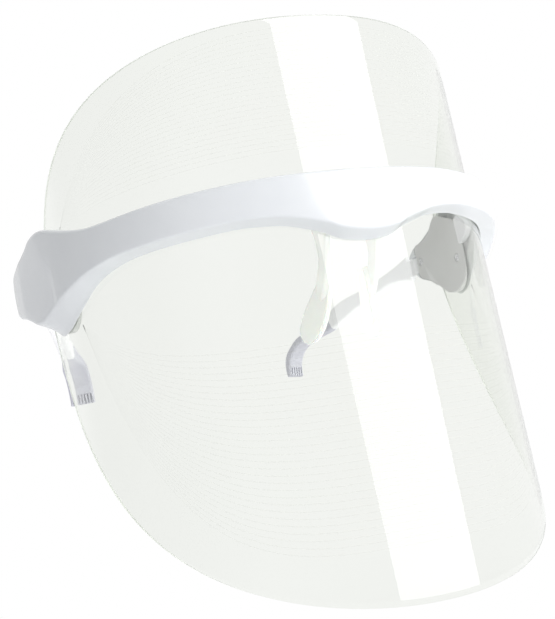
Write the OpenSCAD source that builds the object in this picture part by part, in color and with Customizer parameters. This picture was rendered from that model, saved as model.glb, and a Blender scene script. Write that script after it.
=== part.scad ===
// LED face mask: a clear bent visor held by a brow band with two side housings,
// folding ear arms and a nose bracket.
// Millimetres. Origin: middle of the nose seat. +X: wearer's left. +Y: towards the
// back of the head. +Z: up. Right and left in the names are the wearer's.

/* [Visor] */
// outer radius of the bent sheet
visor_radius = 88; // [75:0.5:100]
// sheet thickness
visor_thickness = 1.6; // [1:0.1:3]
// girth from the middle of the front to the sheet's side corner
half_girth = 147.4; // [140:0.2:160]
// distance from the nose seat forward to the sheet
seat_to_visor = 36; // [25:0.5:50]
// highest point of the sheet above the nose seat
visor_top = 102; // [80:0.5:120]
// lowest point of the sheet below the nose seat
visor_drop = 108.5; // [80:0.5:130]
// height about which the top edge is rounded
top_centre = -10.6; // [-30:0.2:20]
// squareness of the top edge's rounding
top_power = 2.88; // [2:0.02:4]
// height about which the bottom edge is rounded
bottom_centre = 55.5; // [30:0.5:70]
// squareness of the bottom edge's rounding
bottom_power = 2.07; // [1.8:0.01:3]

/* [Brow band] */
// how far the band stands in front of the sheet
band_depth = 7; // [4:0.5:10]
// height of the band's top edge at its middle
band_top = 41; // [35:0.5:46]
// height of the band's bottom edge beside the nose dip
band_bottom = 27.2; // [22:0.2:30]
// depth of the dip over the nose
nose_dip = 9.8; // [4:0.2:14]
// wall thickness of the moulded shells
wall = 2; // [1.2:0.1:3]
// gap between the band and the sheet
sheet_gap = 0.2; // [0.1:0.05:0.6]

/* [Side housings] */
// widest half width of the housings
housing_half_width = 97.4; // [94:0.2:102]
// half distance between the two inner faces
inner_face = 83; // [80:0.1:86]
// how far back the housings reach
housing_back = 75.4; // [70:0.2:80]
// thickness of the inner covers
cover_thickness = 2; // [1.2:0.1:3]
// gap around each cover
cover_gap = 0.15; // [0.05:0.05:0.4]

/* [Ear arms] */
// half distance between the two hinge pins
hinge_half_width = 87.1; // [84:0.1:92]
// how far back the hinge pins stand
hinge_back = 73.2; // [68:0.2:76]
// radius of the hinge pins
pin_radius = 1; // [0.8:0.05:2]
// running gap of the knuckle on its pin
pin_gap = 0.05; // [0.01:0.01:0.1]
// radius of the knuckle
knuckle_radius = 2.6; // [2.2:0.1:4]
// height of the knuckle
knuckle_height = 7.5; // [5:0.1:10]
// height of the knuckle's middle
knuckle_z = 33; // [30:0.2:36]
// how far the arms lean inwards from straight back
arm_lean = 22.6; // [10:0.2:35]
// thickness of the arms
arm_thickness = 4.2; // [3:0.1:6]
// width of the ear tips at their ends
tip_width = 9.4; // [5:0.2:12]
// where the soft tip begins along the arm
tip_start = 55; // [48:0.5:60]

/* [Nose piece] */
// half distance between the two legs at the bridge
leg_half_width = 9; // [7:0.2:14]
// half distance between the two pads' middles
pad_half_width = 10.9; // [9:0.1:16]
// how far the pads turn outwards towards the face
pad_splay = 22; // [0:1:40]
// thickness of each leg
leg_thickness = 2.2; // [1.5:0.1:4]
// thickness of the soft pads
pad_thickness = 2.4; // [1:0.1:4]

/* [Electronics] */
// radius of the power button
button_radius = 4.8; // [3:0.1:6]
// travel of the power button
button_travel = 0.5; // [0.3:0.1:1]
// radial gap around the power button
button_gap = 0.08; // [0.02:0.01:0.1]
// board thickness
board_thickness = 1; // [0.6:0.1:1.6]
// number of light chips down each board
chip_count = 5; // [3:1:8]

/* [Hidden] */
eps = 0.02;
arc_y = visor_radius - seat_to_visor;
arc_end = visor_radius * PI / 2;
straight_run = half_girth - arc_end;
visor_inner = visor_radius - visor_thickness;
band_radius = visor_radius + band_depth;
shell_inner = visor_radius + sheet_gap;
top_rise = visor_top - top_centre;
bottom_fall = bottom_centre + visor_drop;
flank_angle = 78;
flank_x = band_radius * sin(flank_angle);
flank_y = arc_y - band_radius * cos(flank_angle);
crease_y = 47.5;
crease_x = flank_x + (crease_y - flank_y) / tan(flank_angle);
band_low = 29.5;
band_high = 40.5;
inner_band_gap = 0.2;
inner_band_outer = visor_inner - inner_band_gap;
inner_band_thickness = 3;
inner_band_inner = inner_band_outer - inner_band_thickness;
screw_z = 34;
screw_angles = [-58, -20, 20, 58];
screw_radius = 1.2;
screw_core = 1.15;
board_x = 90.2;
board_front = 40.5;
board_back = 60;
board_low = 26;
board_high = 44;
button_y = 53;
button_z = 34;
pocket_x = 95;
button_face = 97.6;
front_screw = [36.4, 26];
rear_screw = [65.4, 33];
socket_y = 47.6;
slot_front = 68.6;

// Which part is drawn

// ---------- shared functions ----------

// height of the sheet's top edge at girth s
function top_z(s) = top_centre + top_rise * pow(1 - pow(min(abs(s) / half_girth, 1), top_power), 1 / top_power);

// height of the sheet's bottom edge at girth s
function bottom_z(s) =
  bottom_centre - bottom_fall * pow(1 - pow(min(abs(s) / half_girth, 1), bottom_power), 1 / bottom_power);

// plan position of girth s on the sheet's outer face
function sheet_x(s) = abs(s) < arc_end ? visor_radius * sin(s / visor_radius * 180 / PI) : sign(s) * visor_radius;
function sheet_y(s) =
  abs(s) < arc_end ? arc_y - visor_radius * cos(s / visor_radius * 180 / PI) : arc_y + abs(s) - arc_end;

// one point of a smooth curve through p1 and p2
function curve_point(p0, p1, p2, p3, t) =
  0.5 * (2 * p1 + (p2 - p0) * t + (2 * p0 - 5 * p1 + 4 * p2 - p3) * t * t
    + (3 * p1 - p0 - 3 * p2 + p3) * t * t * t);

// smooth closed outline through the points
function smooth_loop(p, n) = [
  for (i = [0:len(p) - 1])
    for (j = [0:n - 1])
      curve_point(p[(i + len(p) - 1) % len(p)], p[i], p[(i + 1) % len(p)], p[(i + 2) % len(p)], j / n)
];

// smooth open line through the points
function smooth_line(p, n) = concat([
  for (i = [0:len(p) - 2])
    for (j = [0:n - 1])
      curve_point(p[max(i - 1, 0)], p[i], p[i + 1], p[min(i + 2, len(p) - 1)], j / n)
], [p[len(p) - 1]]);

// closed outline moved inwards by d, for outlines drawn anticlockwise
function inset_loop(p, d) = [
  for (i = [0:len(p) - 1])
    let (a = p[(i + len(p) - 1) % len(p)], b = p[(i + 1) % len(p)], v = b - a, l = norm(v))
      p[i] + d * [-v[1], v[0]] / l
];

// ---------- shared outlines ----------

// side outline of a housing, anticlockwise in Y and Z
housing_side = [
  [71, 28.2], [74, 32], [75, 37], [73, 41.6], [67, 45], [59, 47.2], [53, 49.2], [47, 51.6], [41, 52.2],
  [31.6, 49.9], [18.7, 45.3], [9, 42.8], [0, 42.2], [-8, 42.1], [-8, 28.2], [0, 28.1], [9.4, 27.2],
  [15.9, 25.6], [23.9, 23], [32.2, 19.4], [38.6, 16.2], [43.5, 15], [50, 17.4], [56.8, 21.4], [61, 23.6],
  [66.5, 25]
];

// side outline of a cover, anticlockwise in Y and Z
cover_side = [
  [68.4, 27], [68.4, 33], [68.4, 40.4], [62, 41], [55, 43], [49.8, 46.8], [46.6, 47.6], [41, 45], [36, 41.4],
  [33.4, 34], [31.9, 26], [31.8, 21.6], [33.8, 16.6], [40, 13.2], [48, 13.9], [54, 18.2], [60.4, 22.8]
];

// lower and upper edge of the band's front, in X and Z
band_lower = [
  [0, band_bottom - nose_dip], [5, band_bottom - nose_dip * 0.94], [10, band_bottom - nose_dip * 0.8],
  [15, band_bottom - nose_dip * 0.57], [21, band_bottom - nose_dip * 0.33], [28, band_bottom - nose_dip * 0.14],
  [34, band_bottom - nose_dip * 0.04], [41, band_bottom + 0.2], [50, band_bottom + 0.5],
  [60, band_bottom + 0.8], [70, band_bottom + 0.9], [80.4, 28.1]
];
band_upper = [[80.4, 42.2], [70, 42.2], [55, 42], [40, 41.8], [20, band_top + 0.3], [0, band_top]];

// side outline of an arm and its tip: distance along the arm, height
arm_lower = [
  [4.5, 26.8], [8, 28.4], [13, 29.4], [18, 29.8], [24, 28.2], [36, 25.9], [47, 22.6], [56, 19.8], [64, 19],
  [70, 18.8], [75, 18.2], [80, 15.8], [83.6, 12], [84.8, 8], [84.9, 4.6]
];
arm_upper = [
  [87.4, 4.6], [88, 7.6], [87.8, 11], [86.2, 14.6], [82.8, 18], [78.6, 20.8], [73.4, 22.8], [66.6, 24.6],
  [59.6, 27], [53.6, 29.6], [47, 31.4], [36.2, 32.5], [24.7, 34.2], [18, 35.6], [10, 37.8], [4.5, 40.2]
];
arm_low_line = smooth_line(arm_lower, 3);
arm_high_line = smooth_line(arm_upper, 3);

// ---------- shared shapes ----------

// both sides of something drawn on the left
module both() {
  children();
  mirror([1, 0, 0]) children();
}

// a plan outline in Y and Z, extruded from x0 to x1
module along_x(x0, x1) {
  translate([x0, 0, 0]) rotate([90, 0, 90]) linear_extrude(height = x1 - x0) children();
}

// a front outline in X and Z, extruded from y0 to y1
module along_y(y0, y1) {
  translate([0, y1, 0]) rotate([90, 0, 0]) linear_extrude(height = y1 - y0) children();
}

// a rod along X from x0 to x1
module rod_x(x0, x1, y, z, r) {
  translate([x0, y, z]) rotate([0, 90, 0]) cylinder(r = r, h = x1 - x0, $fn = 48);
}

// a rod pointing forwards through the band at a plan angle, from radius r0 to r1
module rod_out(angle, r0, r1, z, r) {
  translate([0, arc_y, z]) rotate([0, 0, angle]) rotate([90, 0, 0]) translate([0, 0, r0])
    cylinder(r = r, h = r1 - r0, $fn = 48);
}

// a ring about the visor's axis, front half only
module front_ring(r0, r1, z0, z1, half_angle) {
  translate([0, arc_y, z0]) rotate([0, 0, 270 - half_angle])
    rotate_extrude(angle = 2 * half_angle, $fn = 200)
      translate([r0, 0]) square([r1 - r0, z1 - z0]);
}

// plan of the shell's outside, moved inwards by d
module shell_plan(d) {
  back = housing_back - d;
  r = 6;
  union() {
    translate([0, arc_y]) circle(r = band_radius - d, $fn = 240);
    for (m = [0, 1]) mirror([m, 0, 0]) {
      polygon([[60, flank_y], [flank_x - d, flank_y], [crease_x - d, crease_y],
        [housing_half_width - d, 60], [housing_half_width - d, housing_back - r], [60, housing_back - r]]);
      polygon([[60, 60], [housing_half_width - r, 60], [housing_half_width - r, back], [60, back]]);
      translate([housing_half_width - r, housing_back - r]) circle(r = r - d, $fn = 64);
    }
  }
}

// what the sheet and the head space take out of the shell's plan
module head_plan() {
  union() {
    translate([0, arc_y]) circle(r = shell_inner, $fn = 240);
    translate([-shell_inner, arc_y]) square([2 * shell_inner, 61.6 - arc_y]);
    translate([-inner_face, arc_y]) square([2 * inner_face, 60]);
  }
}

// ---------- visor ----------

// what is cut off over the top edge (up = 1) or under the bottom edge (up = -1)
module edge_cutters(up) {
  sector = 22.5;
  count = 8;
  sector_girth = visor_radius * sector * PI / 180;
  far_z = up > 0 ? visor_top + 5 : -visor_drop - 5;
  for (c = [-90 + sector / 2:sector:90 - sector / 2])
    translate([0, arc_y, 0]) rotate([0, 0, c])
      along_y(-visor_radius - 2, -visor_inner + 6)
        polygon(concat(
          [for (i = [-count / 2:count / 2])
            let (a = 1.04 * sector * i / count, s = visor_radius * (c + a) * PI / 180)
              [visor_radius * sin(a), up > 0 ? top_z(s) : bottom_z(s)]],
          [[visor_radius * sin(0.52 * sector), far_z], [-visor_radius * sin(0.52 * sector), far_z]]));
  for (x = [-visor_radius - 2, visor_inner - 2])
    along_x(x, x + 5)
      polygon(concat(
        [for (i = [0:12])
          let (s = arc_end - 0.4 + (half_girth - arc_end + 0.4) * i / 12)
            [sheet_y(s), up > 0 ? top_z(s) : bottom_z(s)]],
        [[arc_y + straight_run + 3, up > 0 ? top_centre : bottom_centre],
          [arc_y + straight_run + 3, far_z], [arc_y - 0.4, far_z]]));
}

module visor() {
  color([0.93, 0.95, 0.92, 0.35])
    difference() {
      translate([0, 0, -visor_drop - 1])
        linear_extrude(height = visor_top + visor_drop + 2)
          difference() {
            union() {
              translate([0, arc_y]) circle(r = visor_radius, $fn = 360);
              translate([-visor_radius, arc_y]) square([2 * visor_radius, straight_run]);
            }
            translate([0, arc_y]) circle(r = visor_inner, $fn = 360);
            translate([-visor_inner, arc_y]) square([2 * visor_inner, 2 * visor_radius]);
          }
      // the half of the round outline behind the straight runs
      translate([-visor_radius - 2, arc_y + straight_run, -visor_drop - 5])
        cube([2 * visor_radius + 4, visor_radius, visor_top + visor_drop + 10]);
      edge_cutters(1);
      edge_cutters(-1);
      both()
        rod_x(visor_inner - 6, visor_radius + 3, front_screw[0], front_screw[1], screw_radius + 0.5);
      for (a = screw_angles) rod_out(a, visor_inner - 2, visor_radius + 2, screw_z, screw_radius + 0.5);
    }
}

// ---------- brow band and housings ----------

module shell_profiles(d) {
  intersection() {
    along_y(-60, 90)
      union() {
        polygon(concat(
          [for (p = smooth_line(band_lower, 2)) [p[0], p[1] + d]],
          [for (p = band_upper) [p[0], p[1] - d]],
          [for (i = [len(band_upper) - 2:-1:0]) [-band_upper[i][0], band_upper[i][1] - d]],
          [for (i = [len(smooth_line(band_lower, 2)) - 1:-1:1])
            let (p = smooth_line(band_lower, 2)[i]) [-p[0], p[1] + d]]));
        translate([80, 0]) square([40, 70]);
        translate([-120, 0]) square([40, 70]);
      }
    along_x(-110, 110)
      union() {
        polygon(inset_loop(smooth_loop(housing_side, 3), d));
        translate([-60, 0]) square([60.5, 70]);
      }
  }
}

module outer_shell() {
  color([0.95, 0.95, 0.97])
    difference() {
      union() {
        difference() {
          intersection() {
            translate([0, 0, 5]) linear_extrude(height = 60) shell_plan(0);
            shell_profiles(0);
          }
          // wiring channel and housing hollows
          difference() {
            intersection() {
              translate([0, 0, 5]) linear_extrude(height = 60) shell_plan(wall);
              shell_profiles(wall);
            }
            // the closed ends that carry the hinges
            translate([-110, 61, 0]) cube([220, 40, 80]);
            // the band stays solid under the channel
            translate([-80, -60, 0]) cube([160, 62, 30.2]);
          }
          translate([0, 0, 5]) linear_extrude(height = 60) head_plan();
        }
        // screw posts in the band
        for (a = screw_angles) rod_out(a, shell_inner, band_radius - 1, screw_z, 2.8);
        both() {
          // posts for the front cover screws
          rod_x(shell_inner + 0.1, 92.4, front_screw[0], front_screw[1], 2.2);
          // posts behind the boards
          rod_x(board_x + board_thickness, 95.2, 44, 42, 1.6);
          rod_x(board_x + board_thickness, 96, 58, 41.5, 1.6);
          rod_x(board_x + board_thickness, 96, 57.8, 28.4, 1.6);
        }
      }
      for (a = screw_angles) rod_out(a, shell_inner - 1, band_radius - 2.2, screw_z, screw_core);
      both() {
        // seat of the cover
        along_x(inner_face - 1, inner_face + cover_thickness + 0.1)
          polygon(inset_loop(cover_side, -cover_gap));
        rod_x(shell_inner - 1, 91.8, front_screw[0], front_screw[1], 0.95);
        rod_x(inner_face, 90.5, rear_screw[0], rear_screw[1], 0.95);
        // knuckle slot
        translate([inner_face - 1, slot_front, knuckle_z - knuckle_height / 2 - 0.15])
          cube([92.4 - inner_face + 1, 20, knuckle_height + 0.3]);
        // pin bore, from below
        translate([hinge_half_width, hinge_back, 20]) cylinder(r = pin_radius - 0.01, h = 19.4, $fn = 48);
        // rounded inner corner around the pin
        difference() {
          translate([inner_face - 1, hinge_back, 5]) cube([hinge_half_width - inner_face + 1, 8, 60]);
          translate([hinge_half_width, hinge_back, 4])
            cylinder(r = hinge_half_width - inner_face, h = 62, $fn = 64);
        }
      }
      // power button hole and pocket
      rod_x(pocket_x - 3, 100, button_y, button_z, button_radius + button_gap);
      rod_x(pocket_x - 3, pocket_x, button_y, button_z, button_radius + 1.5);
      // charging port
      translate([board_x + board_thickness - 0.1, socket_y - 3.9, 10]) cube([2.9, 7.8, 16.3]);
    }
}

module inner_band() {
  color([0.93, 0.93, 0.95])
    difference() {
      front_ring(inner_band_inner, inner_band_outer, band_low, band_high, 73);
      for (a = screw_angles) {
        rod_out(a, inner_band_inner - 2, inner_band_outer + 1, screw_z, screw_radius + 0.1);
        rod_out(a, inner_band_inner - 2, inner_band_inner + 1.4, screw_z, 2.5);
      }
      rod_out(0, inner_band_inner - 2, inner_band_inner + 2.4, 35, screw_core);
    }
}

module cover_left_shape() {
  difference() {
    intersection() {
      along_x(inner_face, inner_face + cover_thickness) polygon(cover_side);
      translate([0, 0, 5]) linear_extrude(height = 60)
        union() {
          translate([0, arc_y]) circle(r = visor_inner - 0.25, $fn = 240);
          translate([0, arc_y]) square([visor_inner - 0.25, 30]);
        }
    }
    for (p = [front_screw, rear_screw]) {
      rod_x(inner_face - 1, inner_face + 4, p[0], p[1], 1.1);
      rod_x(inner_face - 1, inner_face + 0.7, p[0], p[1], 1.75);
    }
  }
}

module right_cover() {
  color([0.86, 0.86, 0.88]) mirror([1, 0, 0]) cover_left_shape();
}

module left_cover() {
  color([0.86, 0.86, 0.88]) cover_left_shape();
}

// ---------- electronics ----------

module board_shape() {
  translate([board_x, board_front, board_low])
    cube([board_thickness, board_back - board_front, board_high - board_low]);
}

module right_board() {
  color([0.16, 0.42, 0.26]) mirror([1, 0, 0]) board_shape();
}

module left_board() {
  color([0.16, 0.42, 0.26]) board_shape();
}

// light chips that face the sheet
module chips_shape() {
  pitch = (board_high - board_low - 4) / (chip_count - 1);
  for (i = [0:chip_count - 1])
    translate([board_x - 1.2, 55, board_low + 2 + i * pitch - 1.4]) cube([1.2, 2.8, 2.8]);
}

module right_light_chips() {
  color([0.95, 0.93, 0.7]) mirror([1, 0, 0]) chips_shape();
}

module left_light_chips() {
  color([0.95, 0.93, 0.7]) chips_shape();
}

module control_chips() {
  x = board_x + board_thickness;
  color([0.12, 0.12, 0.13]) {
    translate([x, 41.6, 31]) cube([0.9, 4, 4]);
    translate([x, 42, 37]) cube([0.7, 1.6, 3]);
    translate([x, 52, 27.2]) cube([0.8, 3, 1.6]);
  }
}

module battery() {
  color([0.75, 0.76, 0.78])
    mirror([1, 0, 0]) translate([board_x + board_thickness, 46.6, 30.4]) cube([2.3, 13, 9]);
}

module wire_harness() {
  color([0.75, 0.2, 0.18]) front_ring(89.4, 90.4, 37.4, 38.8, 80);
}

module charging_socket() {
  x = board_x + board_thickness;
  color([0.72, 0.73, 0.75])
    difference() {
      translate([x, socket_y - 3.7, 20.8]) cube([2.6, 7.4, 5.2]);
      translate([x + 0.4, socket_y - 3.3, 20]) cube([1.8, 6.6, 4.6]);
      translate([x + 1.1, socket_y - 0.4, 25]) cube([0.4, 0.8, 0.4]);
    }
}

module tact_switch() {
  x = board_x + board_thickness;
  color([0.2, 0.2, 0.22]) {
    translate([x, button_y - 3, button_z - 3]) cube([1.9, 6, 6]);
    rod_x(x, pocket_x - 0.95 - button_travel, button_y, button_z, 1.6);
  }
}

module power_button() {
  color([0.9, 0.9, 0.93]) {
    rod_x(pocket_x - 0.5, button_face, button_y, button_z, button_radius);
    rod_x(pocket_x - 0.9, pocket_x - 0.1, button_y, button_z, button_radius + 1);
  }
}

// ---------- fasteners ----------

module cover_screw_shape(p, x_end) {
  rod_x(inner_face + 0.05, inner_face + 0.7, p[0], p[1], 1.65);
  difference() {
    rod_x(inner_face + 0.6, x_end, p[0], p[1], 1);
  }
}

module cover_screws() {
  color([0.7, 0.7, 0.72])
    both() {
      cover_screw_shape(front_screw, 91.4);
      cover_screw_shape(rear_screw, 90);
    }
}

module band_screws() {
  color([0.7, 0.7, 0.72])
    for (a = screw_angles) {
      rod_out(a, inner_band_inner + 0.2, inner_band_inner + 1.4, screw_z, 2.3);
      rod_out(a, inner_band_inner + 1.3, band_radius - 2.6, screw_z, screw_radius);
    }
}

module nose_screw() {
  color([0.7, 0.7, 0.72]) {
    rod_out(0, inner_band_inner - 3.7, inner_band_inner - 2.55, 35, 2.3);
    rod_out(0, inner_band_inner - 2.6, inner_band_inner + 2.2, 35, screw_radius);
  }
}

module hinge_pins() {
  color([0.75, 0.75, 0.77])
    both()
      translate([hinge_half_width, hinge_back, 27.8]) cylinder(r = pin_radius, h = 11.4, $fn = 48);
}

// ---------- ear arms ----------

// places an arm drawn along +Y from the pin at the left hinge
module at_left_hinge() {
  translate([hinge_half_width, hinge_back, 0]) rotate([0, 0, arm_lean]) children();
}

// side outline of the whole arm between two distances
module arm_side(t0, t1) {
  intersection() {
    polygon(concat(arm_low_line, arm_high_line));
    translate([t0, 0]) square([t1 - t0, 60]);
  }
}

// plan of the arm and tip
module arm_plan() {
  h = arm_thickness / 2;
  w = tip_width / 2;
  polygon([[-h, 4.5], [h, 4.5], [h, 58], [h + 0.4, 64], [w - 0.9, 72], [w - 0.3, 78], [w - 0.3, 92],
    [-w - 0.3, 92], [-w - 0.3, 78], [-w + 0.2, 72], [-h - 0.8, 62], [-h, 54]]);
}

module arm_shape() {
  at_left_hinge() {
    difference() {
      union() {
        intersection() {
          along_x(-10, 10) arm_side(0, tip_start);
          translate([0, 0, -10]) linear_extrude(height = 80) arm_plan();
        }
        translate([0, 0, knuckle_z - knuckle_height / 2])
          cylinder(r = knuckle_radius, h = knuckle_height, $fn = 64);
        translate([-1.7, 0, knuckle_z - knuckle_height / 2]) cube([3.4, 6, knuckle_height]);
        // tongue inside the soft tip
        translate([-0.9, tip_start - 1, 21.6]) cube([1.8, 7, 3.2]);
      }
      translate([0, 0, knuckle_z - 10]) cylinder(r = pin_radius + pin_gap, h = 20, $fn = 48);
    }
  }
}

module tip_shape() {
  at_left_hinge()
    difference() {
      intersection() {
        along_x(-10, 10) arm_side(tip_start + 0.05, 100);
        translate([0, 0, -10]) linear_extrude(height = 80) arm_plan();
      }
      translate([-1, tip_start - 1, 21.5]) cube([2, 7.2, 3.4]);
      // grip grooves at the end
      for (i = [-2:2]) translate([i * 1.6 - 0.6, 83, 3]) cube([0.6, 2.5, 6]);
    }
}

module right_arm() {
  color([0.94, 0.94, 0.96]) mirror([1, 0, 0]) arm_shape();
}

module left_arm() {
  color([0.94, 0.94, 0.96]) arm_shape();
}

module right_ear_tip() {
  color([0.75, 0.75, 0.82]) mirror([1, 0, 0]) tip_shape();
}

module left_ear_tip() {
  color([0.75, 0.75, 0.82]) tip_shape();
}

// ---------- nose piece ----------

// side outline of one leg, in Y and Z
leg_side = [
  [-30, 27.6], [-24, 27.8], [-18, 27.6], [-18.8, 22], [-18.4, 16], [-16, 12], [-13.2, 8.8], [-12, 5.6],
  [-12.2, 2.2], [-14.2, 2], [-17.4, 5], [-20.6, 9], [-23.6, 14.4], [-26.6, 20.4]
];

// outline of a nose pad, along the pad and up
pad_side = [
  [-5, 6.4], [-6.6, 1], [-6, -5], [-2.5, -10], [2.5, -11.2], [6.2, -8.5], [7, -3.5], [4.5, 1.5], [0.5, 6],
  [-2.6, 8.4]
];

// places a paddle drawn in the plane x = 0 on the left side
module at_left_pad() {
  translate([pad_half_width, -7, 0]) rotate([0, 0, -pad_splay]) children();
}

module leg_shape() {
  along_x(leg_half_width, leg_half_width + leg_thickness) polygon(smooth_loop(leg_side, 2));
  at_left_pad() along_x(0, leg_thickness - 0.4) polygon(smooth_loop(pad_side, 3));
}

module nose_bracket() {
  color([0.93, 0.94, 0.95]) {
    both() leg_shape();
    difference() {
      union() {
        translate([-leg_half_width - leg_thickness, -30.2, 24]) cube([2 * (leg_half_width + leg_thickness), 3.2, 3.6]);
        translate([-5, -30.9, 24]) cube([10, 2.2, 15]);
      }
      rod_out(0, inner_band_inner - 6, inner_band_inner + 1, 35, screw_radius + 0.1);
    }
  }
}

module pad_shape() {
  at_left_pad()
    along_x(-pad_thickness - 0.05, -0.05) polygon(smooth_loop(inset_loop(pad_side, 0.4), 3));
}

module right_nose_pad() {
  color([0.9, 0.91, 0.93]) mirror([1, 0, 0]) pad_shape();
}

module left_nose_pad() {
  color([0.9, 0.91, 0.93]) pad_shape();
}

visor();
outer_shell();
inner_band();
right_cover();
left_cover();
right_board();
left_board();
right_light_chips();
left_light_chips();
control_chips();
battery();
wire_harness();
charging_socket();
tact_switch();
power_button();
cover_screws();
band_screws();
nose_screw();
hinge_pins();
right_arm();
left_arm();
right_ear_tip();
left_ear_tip();
nose_bracket();
right_nose_pad();
left_nose_pad();
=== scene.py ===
# %% [markdown]
# # LED face mask
# A clear bent visor hangs from a white brow band. Two side housings carry short ear arms on hinges, and a
# small bracket under the middle of the band rests on the nose. This file builds the looks of that mask,
# piece by piece, over a frame that already fixes every size. Lengths in the tables are millimetres.

# %% Load the frame
import bpy
import math
from mathutils import Matrix, Vector


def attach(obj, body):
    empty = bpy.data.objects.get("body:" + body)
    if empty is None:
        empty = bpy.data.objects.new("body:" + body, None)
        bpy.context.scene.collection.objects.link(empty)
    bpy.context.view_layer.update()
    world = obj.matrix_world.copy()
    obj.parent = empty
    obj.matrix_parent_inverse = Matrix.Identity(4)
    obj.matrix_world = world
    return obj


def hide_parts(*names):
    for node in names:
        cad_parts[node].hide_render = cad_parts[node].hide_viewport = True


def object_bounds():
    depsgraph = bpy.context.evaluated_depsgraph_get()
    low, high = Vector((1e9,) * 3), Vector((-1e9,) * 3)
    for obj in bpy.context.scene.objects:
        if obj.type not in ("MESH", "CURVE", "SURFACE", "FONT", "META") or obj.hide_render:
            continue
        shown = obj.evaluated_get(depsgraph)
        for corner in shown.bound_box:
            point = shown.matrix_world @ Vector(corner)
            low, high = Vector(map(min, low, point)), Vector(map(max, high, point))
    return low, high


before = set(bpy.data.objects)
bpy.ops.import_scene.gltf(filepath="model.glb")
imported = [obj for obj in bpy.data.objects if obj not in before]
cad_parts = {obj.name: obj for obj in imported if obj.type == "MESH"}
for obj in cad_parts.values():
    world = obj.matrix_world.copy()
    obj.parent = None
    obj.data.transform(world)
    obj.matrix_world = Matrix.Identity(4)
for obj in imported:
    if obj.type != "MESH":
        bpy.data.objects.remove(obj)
cad_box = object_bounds()

# %% [markdown]
# ## Camera
# The camera looks up a little from in front of the wearer's right side, with a long lens and a slight roll.
# Its three directions are written as the columns of its matrix, so nothing has to be guessed from angles.

# %% Place the camera
cam_data = bpy.data.cameras.new("studio_camera")
cam_data.lens = 81.15
cam_data.sensor_width = 36
camera = bpy.data.objects.new("studio_camera", cam_data)
bpy.context.scene.collection.objects.link(camera)
right = Vector((0.9013, -0.3853, -0.1979)).normalized()
forward = Vector((0.4223, 0.8833, 0.2037)).normalized()
up = right.cross(forward).normalized()
turn = Matrix((right, up, -forward)).transposed().to_4x4()
camera.matrix_world = Matrix.Translation((-0.23495, -0.44590, -0.09932)) @ turn
bpy.context.scene.camera = camera
bpy.context.scene.view_settings.view_transform = "Standard"
print("camera lens", cam_data.lens, "mm")

# %% [markdown]
# ## Small helpers
# Most pieces start as a flat grid or a disc primitive whose corners are carried to their places, as a
# modeller drags rows of points over a drawing. The same few steps come back every time: select one object,
# merge what touches, point the faces outwards, apply the modifiers and smooth the shading.

# %% Selection and modifier helpers
def deselect():
    if bpy.context.object and bpy.context.object.mode != "OBJECT":
        bpy.ops.object.mode_set(mode="OBJECT")
    bpy.ops.object.select_all(action="DESELECT")


def pick(obj):
    deselect()
    obj.select_set(True)
    bpy.context.view_layer.objects.active = obj


def name_new(name):
    obj = bpy.context.object
    obj.name = name
    obj.data.name = name
    return obj


def apply_modifiers(obj):
    pick(obj)
    for modifier in list(obj.modifiers):
        bpy.ops.object.modifier_apply(modifier=modifier.name)


def close_up(obj, fill=False):
    pick(obj)
    bpy.ops.object.mode_set(mode="EDIT")
    bpy.ops.mesh.select_all(action="SELECT")
    bpy.ops.mesh.remove_doubles(threshold=1e-6)
    if fill:
        bpy.ops.mesh.select_all(action="DESELECT")
        bpy.ops.mesh.select_mode(type="EDGE")
        bpy.ops.mesh.select_non_manifold()
        bpy.ops.mesh.fill_holes(sides=0)
        bpy.ops.mesh.select_mode(type="VERT")
    bpy.ops.mesh.select_all(action="SELECT")
    bpy.ops.mesh.normals_make_consistent(inside=False)
    bpy.ops.object.mode_set(mode="OBJECT")


def flip_faces(obj):
    pick(obj)
    bpy.ops.object.mode_set(mode="EDIT")
    bpy.ops.mesh.select_all(action="SELECT")
    bpy.ops.mesh.flip_normals()
    bpy.ops.object.mode_set(mode="OBJECT")


def smooth(obj, degrees=32):
    pick(obj)
    bpy.ops.object.shade_smooth_by_angle(angle=math.radians(degrees))


def bevel(obj, width, segments=3, angle=30):
    m = obj.modifiers.new("rounded_edges", "BEVEL")
    m.width = width / 1000
    m.segments = segments
    m.limit_method = "ANGLE"
    m.angle_limit = math.radians(angle)
    m.use_clamp_overlap = True
    apply_modifiers(obj)


def join(target, *others):
    deselect()
    for other in others:
        other.select_set(True)
    target.select_set(True)
    bpy.context.view_layer.objects.active = target
    bpy.ops.object.join()
    return target


print("helpers ready")

# %% Curves through a few points, and grids laid on them
def curve(*points):
    """A smooth line through the points that never overshoots them, as a drawing spline would."""
    xs = [p[0] for p in points]
    ys = [p[1] for p in points]
    slopes = [(ys[i + 1] - ys[i]) / (xs[i + 1] - xs[i]) for i in range(len(xs) - 1)]
    ends = [slopes[0]]
    for a, b in zip(slopes, slopes[1:]):
        ends.append(0 if a * b <= 0 else 2 * a * b / (a + b))
    ends.append(slopes[-1])

    def at(x):
        x = min(max(x, xs[0]), xs[-1])
        i = max(k for k in range(len(xs) - 1) if xs[k] <= x)
        h = xs[i + 1] - xs[i]
        t = (x - xs[i]) / h
        return (
            ys[i] * (1 + 2 * t) * (1 - t) ** 2
            + ends[i] * h * t * (1 - t) ** 2
            + ys[i + 1] * t * t * (3 - 2 * t)
            + ends[i + 1] * h * t * t * (t - 1)
        )

    return at


def between(quad, t):
    """The place at share t between the middle two of four points, on a smooth line through all four."""
    return tuple(
        0.5 * (2 * b + (c - a) * t + (2 * a - 5 * b + 4 * c - d) * t * t + (3 * b - a - 3 * c + d) * t ** 3)
        for a, b, c, d in zip(*quad)
    )


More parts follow.
